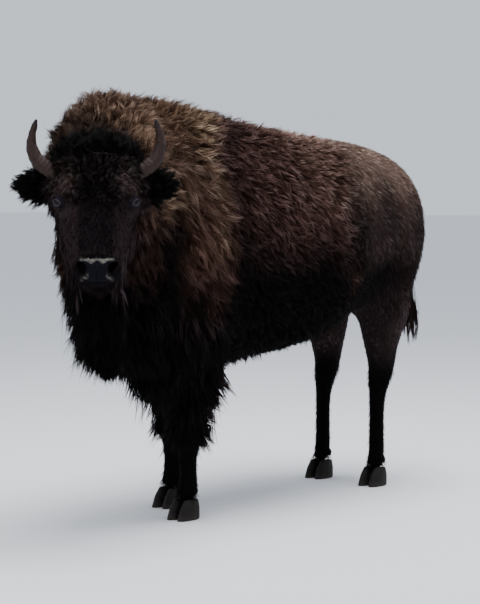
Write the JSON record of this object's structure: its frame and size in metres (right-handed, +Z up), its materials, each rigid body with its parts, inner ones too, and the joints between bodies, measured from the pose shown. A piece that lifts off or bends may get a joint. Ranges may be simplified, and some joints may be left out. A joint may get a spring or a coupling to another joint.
{
  "type": "standing bison model",
  "caption": "Life-size still model of a standing bison in winter coat, head turned to its left, on four cloven feet.",
  "frame": {"origin": "on the floor, under the middle of the whole animal's bounding box", "axes": "+X from chest to rump along the trunk, +Z up, the animal's left side towards -Y"},
  "size_m": [2.3158, 0.8168, 1.6093],
  "materials": {
    "cape": "long woolly golden-brown hair over hump, neck and shoulders, tips paler than roots",
    "flank": "short dense dark brown coat lying back and down over ribs, loins and rump",
    "dark_coat": "near-black hair of legs, chaps, beard, ears and tail tuft",
    "face": "short flat dark hair, bare dark grey skin at the nose and lips",
    "horn": "grey-brown horn, ringed at the foot, smooth and darker towards the tip",
    "hoof": "dull black-brown hoof horn with faint growth rings",
    "eye": "wet dark brown eye"
  },
  "bodies": {
    "root": {"head": "face", "neck": "cape", "forequarters": "cape", "barrel": "flank", "hindquarters": "flank", "horn_left": "horn", "horn_right": "horn", "ear_left": "dark_coat", "ear_right": "dark_coat", "eye_left": "eye", "eye_right": "eye", "beard": "dark_coat", "tail": "flank", "tail_tuft": "dark_coat", "foreleg_left_upper": "dark_coat", "foreleg_left_lower": "dark_coat", "hoof_fore_left_inner": "hoof", "hoof_fore_left_outer": "hoof", "foreleg_right_upper": "dark_coat", "foreleg_right_lower": "dark_coat", "hoof_fore_right_inner": "hoof", "hoof_fore_right_outer": "hoof", "hindleg_left_upper": "dark_coat", "hindleg_left_lower": "dark_coat", "hoof_hind_left_inner": "hoof", "hoof_hind_left_outer": "hoof", "hindleg_right_upper": "dark_coat", "hindleg_right_lower": "dark_coat", "hoof_hind_right_inner": "hoof", "hoof_hind_right_outer": "hoof"}
  },
  "joints": []
}
